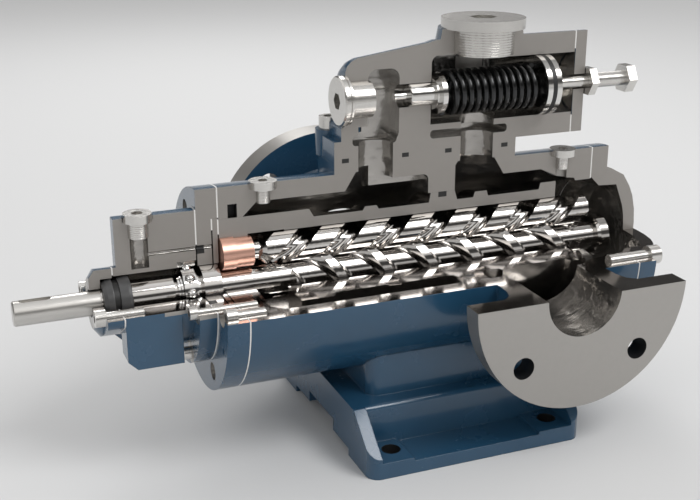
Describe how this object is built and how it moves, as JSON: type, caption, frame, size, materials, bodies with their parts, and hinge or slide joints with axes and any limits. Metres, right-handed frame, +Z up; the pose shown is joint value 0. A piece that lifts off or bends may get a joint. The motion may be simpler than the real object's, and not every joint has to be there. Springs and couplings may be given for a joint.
{
  "type": "three-screw pump",
  "caption": "Sectioned three-screw pump: geared by its threads in one liner, with side nozzles, a shaft seal end, a foot and a spring-loaded relief valve on top.",
  "frame": {"origin": "centre of the foot's four bolt holes, on the underside of the foot", "axes": "+X along the shaft from the drive end to the rear cover, +Y to the discharge nozzle, +Z up; the suction nozzle faces -Y and the shaft axis is 135 mm up"},
  "size_m": [0.542, 0.244, 0.3315],
  "materials": {
    "painted_casting": "glossy blue enamel outside, bare machined metal on the display cut",
    "liner_iron": "machined, polished on the cut",
    "rotor_steel": "mirror polished",
    "bearing_steel": "polished",
    "bronze": "polished bronze",
    "bolt_steel": "satin",
    "valve_steel": "satin",
    "spring_steel": "black oiled",
    "gasket": "pale fibre",
    "seal_rubber": "matt black",
    "seal_carbon": "dull dark gray"
  },
  "bodies": {
    "pump_body": {"pump_casing": "painted_casting", "pump_foot": "painted_casting", "bearing_cover": "painted_casting", "bearing_cover_oring": "seal_rubber", "bearing_cover_screws": "bolt_steel", "bush_retainer": "liner_iron", "retainer_gasket": "gasket", "liner_gasket": "gasket", "casing_front_gasket": "gasket", "casing_rear_gasket": "gasket", "seal_housing": "painted_casting", "seal_housing_screws": "bolt_steel", "bearing_gasket": "gasket", "seal_cover": "painted_casting", "seal_cover_gasket": "gasket", "seal_cover_screws": "bolt_steel", "rear_cover": "painted_casting", "rear_cover_screws": "bolt_steel", "rotor_liner": "liner_iron", "liner_seal": "seal_rubber", "upper_idler_bush": "bronze", "lower_idler_bush": "bronze", "bearing_outer_ring": "bearing_steel", "seal_seat": "seal_carbon", "casing_plugs": "bolt_steel", "vent_plug": "bolt_steel", "valve_body": "painted_casting", "valve_body_screws": "bolt_steel", "valve_port_seals": "seal_rubber", "valve_cover": "painted_casting", "valve_cover_gasket": "gasket", "valve_cover_screws": "bolt_steel", "valve_top_plug": "bolt_steel", "valve_end_plug": "bolt_steel", "relief_spring": "spring_steel", "lock_nut": "bolt_steel"},
    "drive_rotor": {"drive_screw": "rotor_steel", "shaft_sleeve": "rotor_steel", "shaft_circlip": "bearing_steel", "bearing_inner_ring": "bearing_steel", "seal_bellows": "seal_rubber", "seal_ring": "seal_carbon"},
    "upper_idler": {"upper_idler_screw": "rotor_steel"},
    "lower_idler": {"lower_idler_screw": "rotor_steel"},
    "ball_set": {"bearing_balls": "bearing_steel", "bearing_cage": "bearing_steel"},
    "relief_plunger": {"relief_piston": "valve_steel"},
    "spring_stop": {"spring_plate": "valve_steel", "spring_plate_seal": "seal_rubber"},
    "adjuster": {"adjusting_screw": "bolt_steel"}
  },
  "joints": [
    {"name": "shaft_spin", "type": "hinge", "parent": "pump_body", "child": "drive_rotor", "pos_m": [0, 0, 0.135], "axis": [1, 0, 0], "continuous": true},
    {"name": "upper_idler_spin", "type": "hinge", "parent": "pump_body", "child": "upper_idler", "pos_m": [0, 0, 0.1608], "axis": [1, 0, 0], "continuous": true},
    {"name": "lower_idler_spin", "type": "hinge", "parent": "pump_body", "child": "lower_idler", "pos_m": [0, 0, 0.1092], "axis": [1, 0, 0], "continuous": true},
    {"name": "ball_set_spin", "type": "hinge", "parent": "pump_body", "child": "ball_set", "pos_m": [0, 0, 0.135], "axis": [1, 0, 0], "continuous": true},
    {"name": "relief_lift", "type": "slide", "parent": "pump_body", "child": "relief_plunger", "axis": [1, 0, 0], "range_m": [0, 0.008], "stiffness_N_per_m": 15000, "springref_m": -0.0167, "deforming": ["relief_spring"]},
    {"name": "spring_stop_slide", "type": "slide", "parent": "pump_body", "child": "spring_stop", "axis": [-1, 0, 0], "range_m": [0, 0.008], "deforming": ["relief_spring"]},
    {"name": "adjuster_turn", "type": "hinge", "parent": "spring_stop", "child": "adjuster", "pos_m": [0, 0, 0.273], "axis": [-1, 0, 0], "range_deg": [0, 1921]}
  ],
  "couplings": [
    {"joint": "upper_idler_spin", "follows": "shaft_spin", "ratio": -1},
    {"joint": "lower_idler_spin", "follows": "shaft_spin", "ratio": -1},
    {"joint": "ball_set_spin", "follows": "shaft_spin", "ratio": 0.3815},
    {"joint": "adjuster_turn", "follows": "spring_stop_slide", "rad_per_m": 4188.8}
  ]
}
